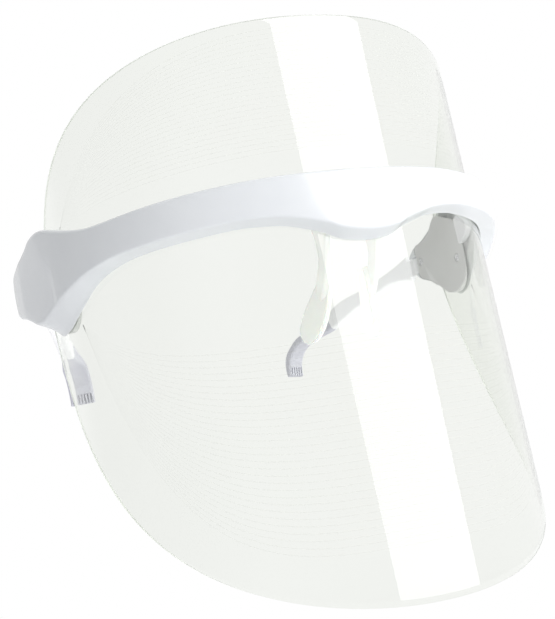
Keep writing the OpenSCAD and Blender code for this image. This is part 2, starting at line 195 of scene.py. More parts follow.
def loop_through(points, steps):
    """A closed smooth outline through the points, for discs that are cut to a shape."""
    n = len(points)
    quads = [[points[(i + k) % n] for k in (-1, 0, 1, 2)] for i in range(n)]
    return [between(quad, j / steps) for quad in quads for j in range(steps)]


def arc_points(cx, cz, rx, rz, start, stop, steps):
    out = []
    for k in range(steps + 1):
        a = math.radians(start + (stop - start) * k / steps)
        out.append((cx + rx * math.cos(a), cz + rz * math.sin(a)))
    return out


def rounded_rectangle(a0, a1, b0, b1, corner, steps):
    """The outline of a rectangle whose four corners are rounded."""
    out = []
    for a, b, start in ((a1 - corner, b1 - corner, 90), (a1 - corner, b0 + corner, 0),
                        (a0 + corner, b0 + corner, -90), (a0 + corner, b1 - corner, -180)):
        out += arc_points(a, b, corner, corner, start, start - 90, steps)
    return out


def shaped_grid(name, columns, rows, place):
    """A grid primitive whose corners are carried to place(column, row), in millimetres."""
    deselect()
    bpy.ops.mesh.primitive_grid_add(x_subdivisions=columns, y_subdivisions=rows, size=1)
    obj = name_new(name)
    for corner in obj.data.vertices:
        column = round((corner.co.x + 0.5) * columns)
        row = round((corner.co.y + 0.5) * rows)
        corner.co = Vector(place(column, row)) / 1000
    return obj


def rings_to_solid(name, rings, capped=True):
    """Closed rings of points, joined into one skin with its ends filled."""
    count = len(rings[0])
    obj = shaped_grid(name, len(rings) - 1, count, lambda c, r: rings[c][r % count])
    close_up(obj, fill=capped)
    return obj


def plate(name, outline, place, thickness):
    """A disc carried to the outline and pulled out to a plate. place(a, b, depth) gives the spot."""
    deselect()
    bpy.ops.mesh.primitive_circle_add(vertices=len(outline), radius=1, fill_type="NGON")
    obj = name_new(name)
    flat = [tuple(c.co) for c in obj.data.vertices]
    pick(obj)
    bpy.ops.object.mode_set(mode="EDIT")
    bpy.ops.mesh.select_all(action="SELECT")
    bpy.ops.mesh.extrude_region_move(TRANSFORM_OT_translate={"value": (0, 0, 1)})
    bpy.ops.object.mode_set(mode="OBJECT")
    order = {(round(p[0], 5), round(p[1], 5)): i for i, p in enumerate(flat)}
    for corner in obj.data.vertices:
        a, b = outline[order[(round(corner.co.x, 5), round(corner.co.y, 5))]]
        corner.co = Vector(place(a, b, thickness * round(corner.co.z))) / 1000
    close_up(obj)
    return obj


print("curve of a test point:", round(curve((0, 0), (1, 1), (2, 0))(1), 3))

# %% Cutting helpers
def cut(obj, cutter, mode="DIFFERENCE"):
    m = obj.modifiers.new("cut", "BOOLEAN")
    m.operation = mode
    m.solver = "EXACT"
    m.object = cutter
    apply_modifiers(obj)
    bpy.data.objects.remove(cutter, do_unlink=True)


def settle(obj):
    """Puts a primitive's place into its mesh, so the object itself sits at the origin."""
    pick(obj)
    bpy.ops.object.transform_apply(location=True, rotation=True, scale=True)
    return obj


def rod(name, start, direction, length, radius, sides=48):
    deselect()
    direction = Vector(direction).normalized()
    middle = Vector(start) + direction * length / 2
    turn = direction.to_track_quat("Z", "Y").to_euler()
    bpy.ops.mesh.primitive_cylinder_add(
        vertices=sides, radius=radius / 1000, depth=length / 1000, location=middle / 1000, rotation=turn
    )
    return settle(name_new(name))


def block(name, low, high):
    deselect()
    middle = [(a + b) / 2000 for a, b in zip(low, high)]
    bpy.ops.mesh.primitive_cube_add(size=1, location=middle)
    obj = name_new(name)
    obj.scale = [(b - a) / 1000 for a, b in zip(low, high)]
    return settle(obj)


def mirror_copy(obj, name):
    """A second piece on the other side, with its own mesh and its faces outwards."""
    twin = obj.copy()
    twin.data = obj.data.copy()
    twin.name = name
    twin.data.name = name
    bpy.context.scene.collection.objects.link(twin)
    for corner in twin.data.vertices:
        corner.co.x = -corner.co.x
    flip_faces(twin)
    return twin


print("cutters ready")

# %% [markdown]
# ## Clear visor
# The real visor is cut flat from clear plastic sheet and bent to a half cylinder. The grid here does the
# same: its columns run round the face by girth, its rows fill the height between a rounded top edge and a
# long chin edge, and then every point is bent round the arc. A wall of 1.6 mm and a tiny rounding finish
# the cut edge.

# %% Outline and bend of the sheet
ARC_Y = 52.0
SHEET_R = 88.0
SHEET_T = 1.6
ARC_END = SHEET_R * math.pi / 2
HALF_GIRTH = 147.4
SHEET_END = 145.2
COLUMNS, ROWS = 240, 60


def sheet_top(s):
    return -10.6 + 112.6 * (1 - min(abs(s) / HALF_GIRTH, 1) ** 2.88) ** (1 / 2.88)


def sheet_bottom(s):
    return 55.5 - 164.0 * (1 - min(abs(s) / HALF_GIRTH, 1) ** 2.07) ** (1 / 2.07)


def bent(s, z, inward=0.0):
    """Bends girth s and height z round the face; inward counts from the outer side."""
    radius = SHEET_R - inward
    if abs(s) < ARC_END:
        angle = s / SHEET_R
        return (radius * math.sin(angle), ARC_Y - radius * math.cos(angle), z)
    return (math.copysign(radius, s), ARC_Y + abs(s) - ARC_END, z)


def sheet_point(column, row):
    t = 2 * column / COLUMNS - 1
    s = SHEET_END * (0.55 * t + 0.45 * math.sin(t * math.pi / 2))
    share = row / ROWS
    share = 0.5 - 0.5 * math.cos(math.pi * share) * (0.35 + 0.65 * abs(math.cos(math.pi * share)) ** 0.2)
    low, high = sheet_bottom(s), sheet_top(s)
    return bent(s, low + (high - low) * (row / ROWS * 0.6 + share * 0.4))


visor = shaped_grid("clear_visor", COLUMNS, ROWS, sheet_point)
close_up(visor)
normal = visor.data.polygons[len(visor.data.polygons) // 2].normal
if normal.y > 0:
    flip_faces(visor)
wall = visor.modifiers.new("wall", "SOLIDIFY")
wall.thickness = SHEET_T / 1000
wall.offset = -1
wall.use_even_offset = True
wall.use_rim = True
apply_modifiers(visor)
bevel(visor, 0.3, 2, 60)
smooth(visor, 50)
rim_faces = []
for face in visor.data.polygons:
    away = Vector((face.center.x, min(face.center.y - ARC_Y / 1000, 0), 0)).normalized()
    rim_faces.append(1 if abs(face.normal.dot(away)) < 0.9 else 0)
print("visor: faces", len(visor.data.polygons), "of them on the cut edge", sum(rim_faces))

# %% [markdown]
# ## Light lines in the visor
# Thin lines are cut into the sheet to carry the light away from the housings. They leave each housing as a
# tight fan and run level over the forehead and the cheeks. Each line is a thin ribbon just inside the back
# face, laid with the same bend as the sheet.

# %% Lay the engraved lines
LINE_WIDTH = 0.3
LINE_STEPS = 96


def upper_line(height, s):
    flat = 3.1 + 4.2 * ((98.5 - height) / 46) ** 1.6
    return 49.5 + (height - 49.5) * (1 - min(abs(s) / 123.5, 1) ** flat)


def lower_line(drop, s):
    return 13.0 - drop * (1 - min(abs(s) / 117.5, 1) ** 3.6)


fans = [(upper_line, 52.6 + 1.83 * i, 123.4) for i in range(26)]
fans += [(lower_line, 29 + 2.5 * i, 117.4) for i in range(30)]


def line_point(column, row):
    kind, size, end = fans[row // 2]
    t = 2 * column / LINE_STEPS - 1
    s = end * math.sin(t * math.pi / 2)
    side = (row % 2 - 0.5) * LINE_WIDTH
    ds = 0.01
    rise = (kind(size, s + ds) - kind(size, s - ds)) / (2 * ds)
    length = math.hypot(1, rise)
    return bent(s - side * rise / length, kind(size, s) + side / length, SHEET_T + 0.03)


lines = shaped_grid("light_lines", LINE_STEPS, 2 * len(fans) - 1, line_point)
pick(lines)
bpy.ops.object.mode_set(mode="EDIT")
bpy.ops.mesh.select_all(action="DESELECT")
bpy.ops.mesh.select_mode(type="FACE")
bpy.ops.object.mode_set(mode="OBJECT")
for face in lines.data.polygons:
    # a grid row between two neighbouring lines is not part of any ribbon
    face.select = min(face.vertices) // (LINE_STEPS + 1) % 2 == 1
bpy.ops.object.mode_set(mode="EDIT")
bpy.ops.mesh.delete(type="FACE")
bpy.ops.object.mode_set(mode="OBJECT")
smooth(lines, 60)
print("light lines:", len(fans), "ribbons,", len(lines.data.polygons), "faces")

# %% [markdown]
# ## Brow band and housings
# One moulding makes the band and the outer half of both housings. It is drawn as a row of closed sections
# that walk round the head: a hollow C with a rounded top edge, a gently crowned front, a sloping under-face
# and an open back against the sheet. Near the sheet's end the sections turn solid and close round the
# hinge.

# %% Edge heights along the band
top_by_x = curve((0, 41), (20, 41.3), (40, 41.8), (55, 42), (70, 42.2), (96, 42.2))
top_by_y = curve((-8, 42.1), (0, 42.2), (9, 42.8), (18.7, 45.3), (31.6, 49.9), (36.5, 51.5), (41, 52.2),
                 (47, 51.6), (53, 49.2), (59, 47.2), (67, 45), (70, 43.7), (73, 41.6), (74.2, 39.9),
                 (75, 37.9), (75.4, 36.6))
low_by_girth = curve((0, 16.4), (4, 16.7), (10, 17.9), (15, 20.4), (21, 22.7), (28, 24.9), (36, 26.2),
                     (45, 27), (60, 27.2), (75, 27.4), (82, 27.3), (88, 26.8), (97, 25.2), (103, 23.3),
                     (109.6, 19.8), (118.3, 15.4), (124.7, 12.8), (129.7, 12.2))
low_by_y = curve((43.5, 12.2), (46.5, 12.8), (50, 15), (56.8, 20), (61, 22.9), (66.5, 25.2), (69, 26.6),
                 (71, 28.4), (73, 30.9), (74.2, 32.9), (75, 34.8), (75.4, 36))
crease_by_girth = curve((0, 18.6), (4, 18.9), (10, 20.1), (15, 22.4), (21, 24.5), (28, 26.5), (36, 27.7),
                        (45, 28.4), (60, 28.6), (85, 28.4), (99, 27), (106, 25.6), (115, 23.4), (124, 21.2),
                        (129.7, 19.6))
crease_by_y = curve((43.5, 19.6), (46.5, 18.9), (50, 19), (56.8, 22), (61, 24), (66.5, 25.5), (69, 26.9),
                    (71, 28.7), (73, 31.2), (74.2, 33.1), (75, 34.9), (75.4, 36))
inner_top_by_y = curve((56.2, 42.8), (59.5, 41.9), (62, 41.2), (68.4, 40.4), (72, 39), (75.4, 36.5))
print("band height at the middle:", round(top_by_x(0) - low_by_girth(0), 1), "mm")

# %% Sections of the moulding
BAND_R = 95.0
SHELL_IN = 88.2
FLANK = math.radians(78)
WALL = 2.0
SOLID_FROM = 56.15
HOUSING_X = 97.4
ROUND_FROM, ROUND_R = 69.4, 6
COVER_X = 83.0
PIN_X, PIN_Y = 87.1, 73.2


def flank_x(y):
    return BAND_R * math.sin(FLANK) + (y - ARC_Y + BAND_R * math.cos(FLANK)) / math.tan(FLANK)


def housing_x(y, z):
    """Outer face of a housing: the flank, then a flatter rear field behind a slanting soft crease."""
    if y > ROUND_FROM:
        return HOUSING_X - ROUND_R + math.sqrt(max(ROUND_R ** 2 - (y - ROUND_FROM) ** 2, 0))
    fold = 44 + 0.63 * (min(max(z, 27), 52) - 52)
    field = flank_x(fold) + (HOUSING_X - flank_x(fold)) * (y - fold) / (60 - fold)
    first = flank_x(y)
    soft = 0.05
    both = min(first, field) - soft * math.log(1 + math.exp(-abs(first - field) / soft))
    return min(both, HOUSING_X) if y > fold - 8 else first


def inner_x(y):
    if y > SOLID_FROM:
        boss = PIN_X - COVER_X
        return COVER_X if y < PIN_Y else PIN_X - math.sqrt(max(boss ** 2 - (y - PIN_Y) ** 2, 0))
    return SHELL_IN if y > ARC_Y else math.sqrt(SHELL_IN ** 2 - (ARC_Y - y) ** 2)


def section(width, top, crease, low, hollow, floor_z):
    """Closed section as (distance out from the sheet, height), the same count at every station."""
    high = max(top - low, 0.5)
    rt = min(1.5, high * 0.34)
    rc = min(0.9, high * 0.2)
    e = min(0.35, high * 0.12)
    ring = [(0, top - e), (e * 0.3, top - e * 0.3), (e, top)]
    ring += [(width * k, top) for k in (0.25, 0.5)]
    ring += arc_points(width - rt, top - rt, rt, rt, 90, 0, 6)
    face_high, face_low = top - rt, crease + rc
    for k in range(1, 9):
        t = k / 9
        ring.append((width + 0.25 * 4 * t * (1 - t), face_high + (face_low - face_high) * t))
    slope = Vector((-width, low - crease)).normalized()
    for k in range(5):
        t = k / 4
        a = Vector((width, crease + rc))
        b = Vector((width, crease))
        c = b + slope * rc
        p = a * (1 - t) ** 2 + b * 2 * t * (1 - t) + c * t * t
        ring.append((p.x, p.y))
    for t in (0.3, 0.5, 0.7, 0.9):
        ring.append((width * (1 - t), crease + (low - crease) * t))
    ring += [(e, low), (e * 0.3, low + e * 0.3), (0, low + e)]
    depth = max(width - WALL, 0) * hollow
    floor_z = min(max(floor_z, low + 0.3 * high), top - 0.3 * high)
    roof_z = max(top - WALL, floor_z + 0.05 * high)
    ring += [(0, floor_z), (depth * 0.5, floor_z), (depth, floor_z), (depth, (floor_z + roof_z) / 2)]
    ring += [(depth, roof_z), (depth * 0.5, roof_z), (0, roof_z)]
    return ring


print("flank meets the rear field at", round(housing_x(60, 40), 1), "mm")

# %% One section in its place
def station(outer_at, inner, girth, y):
    """One ring. outer_at(z) is the outer face's place, inner the place against the sheet."""
    if y is None:
        low, crease = low_by_girth(girth), crease_by_girth(girth)
    else:
        low, crease = low_by_y(y), crease_by_y(y)
    mid_outer = outer_at(35)
    top = min(top_by_x(abs(mid_outer[0])), 42.2) if mid_outer[1] < 0 else top_by_y(mid_outer[1])
    if mid_outer[1] < 2:
        floor_z = 30.2
    else:
        blend = min((mid_outer[1] - 2) / 8, 1)
        floor_z = 30.2 + (low + WALL - 30.2) * blend
    hollow = 1.0 if mid_outer[1] < SOLID_FROM else 0.0
    ring = []
    width = math.hypot(mid_outer[0] - inner[0], mid_outer[1] - inner[1])
    for out, z in section(width, top, crease, low, hollow, floor_z):
        far = outer_at(z)
        share = out / width
        if mid_outer[1] > SOLID_FROM and z > 35:
            # the end block slopes down towards the head, so that it meets the cover's outline
            z -= (top - inner_top_by_y(mid_outer[1])) * (1 - share) * (z - 35) / (top - 35)
        ring.append((
            inner[0] + (far[0] - inner[0]) * share,
            inner[1] + (far[1] - inner[1]) * share,
            z,
        ))
    return ring


print("points in one section:", len(section(7, 42, 28, 27, 1.0, 30)))

# %% Walk the sections round one half
FRONT_STEPS, FLANK_STEPS, BLOCK_STEPS, END_STEPS = 66, 22, 9, 11
rings = []
for k in range(FRONT_STEPS + 1):
    a = FLANK * k / FRONT_STEPS
    sin, cos = math.sin(a), math.cos(a)
    rings.append(station(lambda z: (BAND_R * sin, ARC_Y - BAND_R * cos),
                         (SHELL_IN * sin, ARC_Y - SHELL_IN * cos), a * SHEET_R, None))
flank_y = ARC_Y - BAND_R * math.cos(FLANK)
start_in = ARC_Y - SHELL_IN * math.cos(FLANK)
for k in range(1, FLANK_STEPS + 1):
    y = flank_y + (SOLID_FROM - 0.15 - flank_y) * k / FLANK_STEPS
    shift = (start_in - flank_y) * max(0, 1 - (y - flank_y) / 16)
    girth = SHEET_R * math.acos((ARC_Y - y - shift) / SHELL_IN) if y + shift < 43.5 else None
    rings.append(station(lambda z: (housing_x(y, z), y), (inner_x(y + shift), y + shift), girth or 0,
                         None if girth else max(y, 43.5)))
for k in range(BLOCK_STEPS):
    y = SOLID_FROM + 0.15 + (ROUND_FROM - SOLID_FROM - 0.15) * k / BLOCK_STEPS
    rings.append(station(lambda z: (housing_x(y, z), y), (inner_x(y), y), 0, y))
for k in range(END_STEPS + 1):
    y = ROUND_FROM + ROUND_R * math.sin(math.radians(82 * k / END_STEPS))
    rings.append(station(lambda z: (housing_x(y, z), y), (inner_x(y), y), 0, y))
print("rings round one half:", len(rings))

# %% Skin, end cap and mirror
shell = rings_to_solid("brow_band_shell", rings, capped=False)
pick(shell)
bpy.ops.object.mode_set(mode="EDIT")
bpy.ops.mesh.select_all(action="DESELECT")
bpy.ops.object.mode_set(mode="OBJECT")
last_y = max(p[1] for p in rings[-1]) / 1000
for corner in shell.data.vertices:
    corner.select = corner.co.y > last_y - 1e-5
bpy.ops.object.mode_set(mode="EDIT")
bpy.ops.mesh.edge_face_add()
bpy.ops.object.mode_set(mode="OBJECT")
mirror = shell.modifiers.new("other_side", "MIRROR")
mirror.use_axis = (True, False, False)
mirror.use_clip = True
mirror.merge_threshold = 0.00002
apply_modifiers(shell)
close_up(shell)
print("shell: rings", len(rings), "points each", len(rings[0]), "faces", len(shell.data.polygons))

# %% Cut the hinge slots, the button hole and the charging port
for side in (-1, 1):
    xs = sorted((side * 81.0, side * 92.4))
    slot = block("slot", (xs[0], 68.6, 29.1), (xs[1], 90, 36.9))
    bevel(slot, 0.5, 3)
    cut(shell, slot)
BUTTON_Y, BUTTON_Z = 53, 34
cut(shell, rod("button_pocket", (88, BUTTON_Y, BUTTON_Z), (1, 0, 0), 7.2, 6.4, 64))
cut(shell, rod("button_hole", (93.5, BUTTON_Y, BUTTON_Z), (1, 0, 0), 8, 4.88, 64))
port = block("port", (91.1, 43.7, 10), (94.0, 51.5, 26.3))
bevel(port, 1.2, 5)
cut(shell, port)
smooth(shell, 34)
print("shell after cuts: faces", len(shell.data.polygons))

# %% [markdown]
# ## Inner covers
# A flat cover closes each housing towards the head. Its outline is a smooth loop. The front corner is
# trimmed to follow the bent sheet, two screws hold it, and the moulding is cut back to seat it.

# %% Cover plate and its seat
cover_line = loop_through([
    (68.4, 27), (68.4, 33), (68.4, 40.4), (62, 41), (55, 43), (49.8, 46.8), (46.6, 47.6), (41, 45),
    (35, 42.4), (31, 38), (29.9, 31), (30.4, 24), (32.8, 17.4), (40, 13.2), (48, 13.9), (54, 18.2),
    (60.4, 22.8)], 5)
COVER_SCREWS = ((36.4, 26), (65.4, 33))
COVER_REACH = 86.1
left_cover = plate("left_inner_cover", cover_line, lambda a, b, d: (COVER_X + d, a, b), COVER_REACH - COVER_X)
bevel(left_cover, 0.45, 3)
for corner in left_cover.data.vertices:
    x, y, z = corner.co * 1000
    reach = math.sqrt(COVER_REACH ** 2 - (ARC_Y - min(y, ARC_Y)) ** 2)
    if x > reach:
        corner.co.x = reach / 1000
for y, z in COVER_SCREWS:
    cut(left_cover, rod("hole", (81, y, z), (1, 0, 0), 2.75, 1.8, 40))
smooth(left_cover, 34)
right_cover = mirror_copy(left_cover, "right_inner_cover")
seat_line = [(50 + (a - 50) * 1.01, 30 + (b - 30) * 1.01) for a, b in cover_line]
for side in (-1, 1):
    cut(shell, plate("seat", seat_line, lambda a, b, d: (side * (81 + d), a, b), 5.3))
smooth(shell, 34)
print("cover faces", len(left_cover.data.polygons), "shell faces", len(shell.data.polygons))

# %% [markdown]
# ## Inner band
# The rear half of the brow band is a flat strip behind the sheet. Four screws pull it against the front
# half through the sheet. It is drawn as rings too, and each screw gets a round recess.

# %% Strip with rounded edges and screw recesses
STRIP = rounded_rectangle(83.2, 86.15, 29.5, 40.5, 0.6, 3)
STRIP_STEPS = 120


def strip_ring(step):
    a = math.radians(-73 + 146 * step / STRIP_STEPS)
    return [(r * math.sin(a), ARC_Y - r * math.cos(a), z) for r, z in STRIP]


inner_band = rings_to_solid("inner_band_strip", [strip_ring(k) for k in range(STRIP_STEPS + 1)])
SCREW_ANGLES = (-58, -20, 20, 58)


def out_direction(angle):
    a = math.radians(angle)
    return Vector((math.sin(a), -math.cos(a), 0))


for angle in SCREW_ANGLES:
    d = out_direction(angle)
    cut(inner_band, rod("recess", Vector((0, ARC_Y, 34)) + d * 80, d, 4.6, 2.5, 48))
smooth(inner_band, 34)
print("inner band faces", len(inner_band.data.polygons))

# %% [markdown]
# ## Screws
# All the screws are small cross-head screws. One is turned out of a short rod with a rounded head and a
# cross recess, and it is copied to each place with its own mesh.

# %% Make and place the screws
def screw(name, seat, direction, head_radius, head_height, shank_radius, length):
    """Head starts at seat and stands back against direction; the shank runs along direction."""
    d = Vector(direction).normalized()
    head = rod(name, Vector(seat), d, head_height, head_radius, 40)
    bevel(head, 0.22, 3)
    side = d.orthogonal().normalized()
    for k in range(2):
        across = side if k == 0 else d.cross(side)
        slot = block("cross", (-head_radius * 0.62, -0.16, -0.45), (head_radius * 0.62, 0.16, 0.35))
        basis = Matrix((across, d.cross(across), d)).transposed().to_4x4()
        slot.matrix_world = Matrix.Translation(Vector(seat) / 1000) @ basis
        settle(slot)
        cut(head, slot)
    shank = rod("shank", Vector(seat) + d * (head_height - 0.05), d, length, shank_radius, 24)
    return join(head, shank)


cover_screws = [
    screw("screw", (side * (COVER_X + 0.05), y, z), (side, 0, 0), 1.65, 0.65, 1.0, 6.5)
    for side in (-1, 1) for y, z in COVER_SCREWS
]
cover_screw_set = join(*cover_screws)
cover_screw_set.name = "cover_screw_set"
band_screws = []
for angle in SCREW_ANGLES:
    d = out_direction(angle)
    band_screws.append(screw("screw", Vector((0, ARC_Y, 34)) + d * 83.4, d, 2.3, 1.2, 1.2, 7.8))
band_screw_set = join(*band_screws)
band_screw_set.name = "band_screw_set"
nose_screw = screw("nose_piece_screw", (0, ARC_Y - 79.5, 35), (0, -1, 0), 2.3, 1.15, 1.2, 4.6)
for piece in (cover_screw_set, band_screw_set, nose_screw):
    piece.data.name = piece.name
    smooth(piece, 34)
print("screws: 9 in 3 sets")

# %% [markdown]
# ## Ear arms and soft tips
# Each arm is a flat strap that leans inwards and hooks down behind the ear. It is lofted through pairs of
# points on its lower and upper side line, with rounded edges. The soft tip carries the same loft on, wider
# and darker.

# %% Side line, width and sections of an arm
ARM_PAIRS = (
    (5.2, 27.6, 5.2, 39.4), (8, 28.5, 8, 38.4), (13, 29.5, 13, 36.9), (18, 29.7, 18, 35.6),
    (24, 28.3, 24.7, 34.2), (30, 27.1, 30.4, 33.3), (36, 25.8, 36.2, 32.5), (42, 24.2, 42, 32),
    (47, 22.6, 47, 31.4), (51.5, 21.2, 52.6, 30), (56, 19.9, 58.6, 27.5), (60, 19.3, 62.8, 25.9),
    (64, 19, 67, 24.5), (70, 18.8, 73.2, 22.8), (75, 18.1, 78.6, 20.8), (78.8, 16.6, 82.2, 18.4),
    (81.7, 14.4, 85.2, 16), (83.5, 11.8, 87.2, 12.8), (84.5, 9.2, 87.9, 9.6), (84.9, 6.8, 88, 6.8),
    (85, 5.4, 87.7, 5.2), (85.4, 4.8, 87.2, 4.7))
ARM_JOINT = 10
LEAN = math.radians(22.6)
half_out = curve((0, 2.1), (56, 2.1), (64, 2.5), (72, 3.8), (78, 4.4), (100, 4.4))
half_in = curve((0, 2.1), (53, 2.1), (62, 2.9), (72, 4.5), (78, 5.0), (100, 5.0))


def from_hinge(a, t, z):
    """A place on the left arm: a across it, t along it from the pin, z up."""
    sin, cos = math.sin(LEAN), math.cos(LEAN)
    return (PIN_X + a * cos - t * sin, PIN_Y + a * sin + t * cos, z)


def fine_pairs(pairs, steps):
    out = []
    for i in range(len(pairs) - 1):
        quad = [pairs[max(i - 1, 0)], pairs[i], pairs[i + 1], pairs[min(i + 2, len(pairs) - 1)]]
        out += [between(quad, j / steps) for j in range(steps)]
    return out + [pairs[-1]]


def arm_ring(pair, shrink=0.0, corner=1.3):
    t0, z0, t1, z1 = pair
    low, high = Vector((t0, z0)), Vector((t1, z1))
    middle = (low + high) / 2
    axis = (high - low).normalized()
    reach = (high - low).length / 2 - shrink
    wide_out, wide_in = half_out(middle.x) - shrink, half_in(middle.x) - shrink
    e = min(corner, reach * 0.8, wide_out * 0.8)
    ring = rounded_rectangle(-wide_in, wide_out, -reach, reach, e, 4)
    return [from_hinge(a, *(middle + axis * b)) for a, b in ring]


arm_part = fine_pairs(ARM_PAIRS[:ARM_JOINT + 1], 4)
tip_part = fine_pairs(ARM_PAIRS[ARM_JOINT:], 4)
print("arm sections", len(arm_part), "tip sections", len(tip_part))

# %% Loft the arm and add its knuckle
arm_rings = [arm_ring(arm_part[0], 1.1), arm_ring(arm_part[0], 0.35)] + [arm_ring(p) for p in arm_part[1:-1]]
arm_rings += [arm_ring(arm_part[-1], 0.05), arm_ring(arm_part[-1], 0.35)]
left_arm = rings_to_solid("left_ear_arm", arm_rings)
knuckle = rod("knuckle", (PIN_X, PIN_Y, 29.25), (0, 0, 1), 7.5, 2.6, 64)
bevel(knuckle, 0.35, 3)
neck_rings = []
for t in (0.2, 1.5, 3, 4.5, 6.2):
    wide = 1.7 + (0.2 if t > 4 else 0)
    ring = rounded_rectangle(-wide, wide, -3.75, 3.75, 0.5, 3)
    neck_rings.append([from_hinge(a, t, 33 + b) for a, b in ring])
neck = rings_to_solid("neck", neck_rings)
cut(left_arm, neck, "UNION")
cut(left_arm, knuckle, "UNION")
cut(left_arm, rod("pin_bore", (PIN_X, PIN_Y, 20), (0, 0, 1), 30, 1.05, 48))
smooth(left_arm, 36)
right_arm = mirror_copy(left_arm, "right_ear_arm")
print("arm faces", len(left_arm.data.polygons))

# %% Loft the soft tip and cut its grip grooves
tip_rings = [arm_ring(tip_part[0], 0.35), arm_ring(tip_part[0], 0.0)] + [arm_ring(p) for p in tip_part[1:-1]]
tip_rings += [arm_ring(tip_part[-1], 0.3, 1.0)]
left_tip = rings_to_solid("left_ear_tip_soft", tip_rings)
turn = Matrix.Translation((PIN_X / 1000, PIN_Y / 1000, 0)) @ Matrix.Rotation(LEAN, 4, "Z")
for k in range(-2, 3):
    groove = block("groove", (k * 1.6 - 0.65, 82, 2), (k * 1.6 + 0.05, 86.9, 9))
    bevel(groove, 0.2, 2)
    groove.matrix_world = turn
    settle(groove)
    cut(left_tip, groove)
smooth(left_tip, 36)
right_tip = mirror_copy(left_tip, "right_ear_tip_soft")
print("tip faces", len(left_tip.data.polygons))

# %% [markdown]
# ## Nose piece
# A moulded clear bracket screws to the inner band. Two flat legs run down from it and end in paddles, and
# each paddle carries a soft pad. Plates with rounded edges, joined into one body, give the moulded look.

# %% Legs, paddles and bridge
leg_line = loop_through([
    (-30, 27.6), (-24, 27.8), (-18, 27.6), (-18.8, 22), (-18.4, 16), (-16, 12), (-13.2, 8.8), (-12, 5.6),
    (-12.2, 2.2), (-14.2, 2), (-17.4, 5), (-20.6, 9), (-23.6, 14.4), (-26.6, 20.4)], 4)
pad_line = [
    (-9.6, 11), (-9.8, 6), (-7.8, 0), (-4.2, -6), (0, -10.2), (4, -11.6), (7, -9.5), (7.4, -5.4), (4.2, -0.4),
    (-0.6, 4.4), (-5.2, 8.8), (-8, 12.2)]
SPLAY = math.radians(-22)


def on_paddle(u, v, depth):
    """A place on the left paddle: u along it, v up, depth towards the outside."""
    sin, cos = math.sin(SPLAY), math.cos(SPLAY)
    return (10.9 + depth * cos - u * sin, -7 + depth * sin + u * cos, v)


left_leg = plate("leg", leg_line, lambda a, b, d: (9 + d, a, b), 2.2)
bevel(left_leg, 0.5, 3)
paddle = plate("paddle", loop_through(pad_line, 5), on_paddle, 1.8)
bevel(paddle, 0.45, 3)
right_leg = mirror_copy(left_leg, "leg_right")
right_paddle = mirror_copy(paddle, "paddle_right")
bridge = block("nose_bridge", (-11.2, -30.2, 24), (11.2, -27, 27.6))
bevel(bridge, 0.5, 3)
tab = block("tab", (-5, -30.9, 24), (5, -28.7, 39))
bevel(tab, 0.9, 4)
cut(bridge, tab, "UNION")
for part in (left_leg, right_leg, paddle, right_paddle):
    cut(bridge, part, "UNION")
nose_bracket = bridge
smooth(nose_bracket, 34)
print("nose bracket faces", len(nose_bracket.data.polygons))

# %% Soft nose pads
pad_outline = loop_through([(u * 0.93, v * 0.95) for u, v in pad_line], 5)
centre = (-0.4, -1.6)
pad_rings = []
for share, depth in ((0.15, -2.45), (0.45, -2.42), (0.7, -2.3), (0.86, -2.0), (0.95, -1.6), (0.99, -1.2),
                     (1.0, -0.8), (0.99, -0.4), (0.94, -0.08)):
    pad_rings.append([
        on_paddle(centre[0] + (u - centre[0]) * share, centre[1] + (v - centre[1]) * share, depth)
        for u, v in pad_outline])
left_pad = rings_to_solid("left_pad_soft", pad_rings)
smooth(left_pad, 50)
right_pad = mirror_copy(left_pad, "right_pad_soft")
print("pad faces", len(left_pad.data.polygons))

# %% [markdown]
# ## Power button
# A round button sits in the outside of the wearer's left housing. It is turned from one profile: a soft
# edge and a shallow dish for the fingertip.

# %% Turn the button
profile = [(0.01, 97.1), (1.6, 97.14), (3.0, 97.3), (3.9, 97.52), (4.35, 97.6), (4.62, 97.55), (4.78, 97.35),
           (4.8, 97.0), (4.8, 94.9), (5.8, 94.9), (5.8, 94.1), (0.01, 94.1)]
round_turn = [(math.cos(2 * math.pi * k / 64), math.sin(2 * math.pi * k / 64)) for k in range(64)]
button_rings = [[(x, BUTTON_Y + r * cos, BUTTON_Z + r * sin) for cos, sin in round_turn] for r, x in profile]
button = rings_to_solid("power_button_cap", button_rings)
smooth(button, 30)
print("button faces", len(button.data.polygons))

# %% [markdown]
# ## Finishes
# Everything here is moulded plastic, so the differences are small and matter: how sharp a reflection is, how
# fine the mould grain is, and how the edges catch the light. Three groups are shared. One makes mould grain,
# one makes handling marks, and one finds exposed edges, which are painted lighter, partly as wear and partly
# as a painted highlight.

# %% Shared shader groups
def group(name, inputs, outputs):
    tree = bpy.data.node_groups.new(name, "ShaderNodeTree")
    for label, value in inputs:
        socket = tree.interface.new_socket(name=label, in_out="INPUT", socket_type="NodeSocketFloat")
        socket.default_value = value
    for label in outputs:
        tree.interface.new_socket(name=label, in_out="OUTPUT", socket_type="NodeSocketFloat")
    return tree, tree.nodes.new("NodeGroupInput"), tree.nodes.new("NodeGroupOutput")


def put(tree, kind, **values):
    node = tree.nodes.new(kind)
    for key, value in values.items():
        if key.startswith("in_"):
            label = key[3:]
            node.inputs[int(label) if label.isdigit() else label].default_value = value
        else:
            setattr(node, key, value)
    return node


def on_object(tree):
    return put(tree, "ShaderNodeTexCoord").outputs["Object"]


